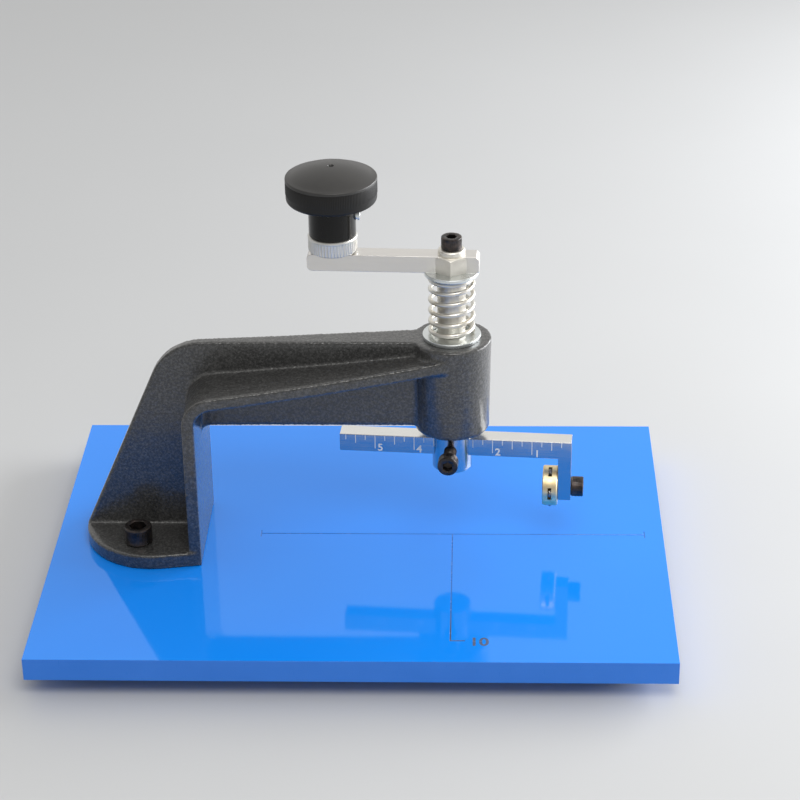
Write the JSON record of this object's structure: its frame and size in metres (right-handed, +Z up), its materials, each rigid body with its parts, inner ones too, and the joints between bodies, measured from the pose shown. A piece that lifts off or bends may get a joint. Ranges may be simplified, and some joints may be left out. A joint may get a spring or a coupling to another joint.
{
  "type": "rotary circle glass cutter",
  "caption": "Bench-top rotary circle glass cutter: cast arm on a flat plate, sprung crank spindle, graduated radius bar and a turret of cutting wheels.",
  "frame": {"origin": "under the middle of the base plate, at the level that the rubber feet stand on", "axes": "+X along the plate towards the spindle's end, +Y away from the operator, +Z up"},
  "size_m": [0.4, 0.3, 0.2878],
  "materials": {
    "plate": "polished blue sheet",
    "rubber": "matt black rubber",
    "zinc": "bright zinc plate",
    "casting": "dark grey hammered paint",
    "black_oxide": "black oxide",
    "bronze": "plain bronze",
    "spring_wire": "bright drawn wire",
    "bright_steel": "turned bright steel",
    "crank_aluminium": "brushed along its length",
    "collar_aluminium": "knurled, polished rim",
    "bar_aluminium": "polished",
    "knob_plastic": "moulded black, satin crown",
    "brass": "polished brass",
    "wheel_steel": "ground hard steel"
  },
  "bodies": {
    "frame": {"base_plate": "plate", "rubber_feet": "rubber", "foot_washers": "zinc", "foot_screws": "zinc", "arm_casting": "casting", "arm_bolts": "black_oxide", "arm_washers": "zinc", "arm_nuts": "zinc", "lower_bush": "bronze", "upper_bush": "bronze", "lower_washer": "zinc"},
    "press_slide": {"upper_washer": "zinc", "return_spring": "spring_wire"},
    "spindle": {"spindle": "bright_steel", "crank_arm": "crank_aluminium", "crank_cap": "bright_steel", "crank_screw": "black_oxide", "knurled_collar": "collar_aluminium", "knob_stud": "bright_steel", "stud_circlip": "spring_wire", "bar_holder": "bright_steel"},
    "knob": {"knob": "knob_plastic", "knob_sleeve": "bright_steel", "knob_set_screw": "zinc"},
    "scale_bar": {"scale_bar": "bar_aluminium", "turret_screw": "black_oxide"},
    "bar_clamp_screw": {"bar_clamp_screw": "black_oxide"},
    "turret": {"turret": "brass", "wheel_axles": "bright_steel"},
    "wheel_1": {"cutter_wheel_1": "wheel_steel"},
    "wheel_2": {"cutter_wheel_2": "wheel_steel"},
    "wheel_3": {"cutter_wheel_3": "wheel_steel"},
    "wheel_4": {"cutter_wheel_4": "wheel_steel"},
    "wheel_5": {"cutter_wheel_5": "wheel_steel"}
  },
  "joints": [
    {"name": "press", "type": "slide", "parent": "frame", "child": "press_slide", "axis": [0, 0, -1], "range_m": [0, 0.0235], "stiffness_N_per_m": 6000, "springref_m": -0.006, "deforming": ["return_spring"]},
    {"name": "spindle_turn", "type": "hinge", "parent": "press_slide", "child": "spindle", "pos_m": [0.061, 0, 0.175], "axis": [0, 0, 1], "continuous": true},
    {"name": "knob_spin", "type": "hinge", "parent": "spindle", "child": "knob", "pos_m": [-0.01293, 0.00323, 0.257], "axis": [0, 0, 1], "continuous": true},
    {"name": "bar_slide", "type": "slide", "parent": "spindle", "child": "scale_bar", "axis": [0.9969, -0.0785, 0], "range_m": [-0.044, 0.057]},
    {"name": "bar_clamp_turn", "type": "hinge", "parent": "spindle", "child": "bar_clamp_screw", "pos_m": [0.05903, -0.02497, 0.0965], "axis": [-0.0785, -0.9969, 0], "range_deg": [0, 360]},
    {"name": "turret_index", "type": "hinge", "parent": "scale_bar", "child": "turret", "pos_m": [0.1249, -0.00503, 0.0675], "axis": [0.9969, -0.0785, 0], "continuous": true},
    {"name": "wheel_1_spin", "type": "hinge", "parent": "turret", "child": "wheel_1", "pos_m": [0.12461, -0.00878, 0.05716], "axis": [0.9969, -0.0785, 0], "continuous": true},
    {"name": "wheel_2_spin", "type": "hinge", "parent": "turret", "child": "wheel_2", "pos_m": [0.12404, -0.01599, 0.06788], "axis": [0.9969, -0.0785, 0], "continuous": true},
    {"name": "wheel_3_spin", "type": "hinge", "parent": "turret", "child": "wheel_3", "pos_m": [0.12466, -0.00805, 0.07807], "axis": [0.9969, -0.0785, 0], "continuous": true},
    {"name": "wheel_4_spin", "type": "hinge", "parent": "turret", "child": "wheel_4", "pos_m": [0.12562, 0.00406, 0.07365], "axis": [0.9969, -0.0785, 0], "continuous": true},
    {"name": "wheel_5_spin", "type": "hinge", "parent": "turret", "child": "wheel_5", "pos_m": [0.12558, 0.00361, 0.06073], "axis": [0.9969, -0.0785, 0], "continuous": true}
  ]
}
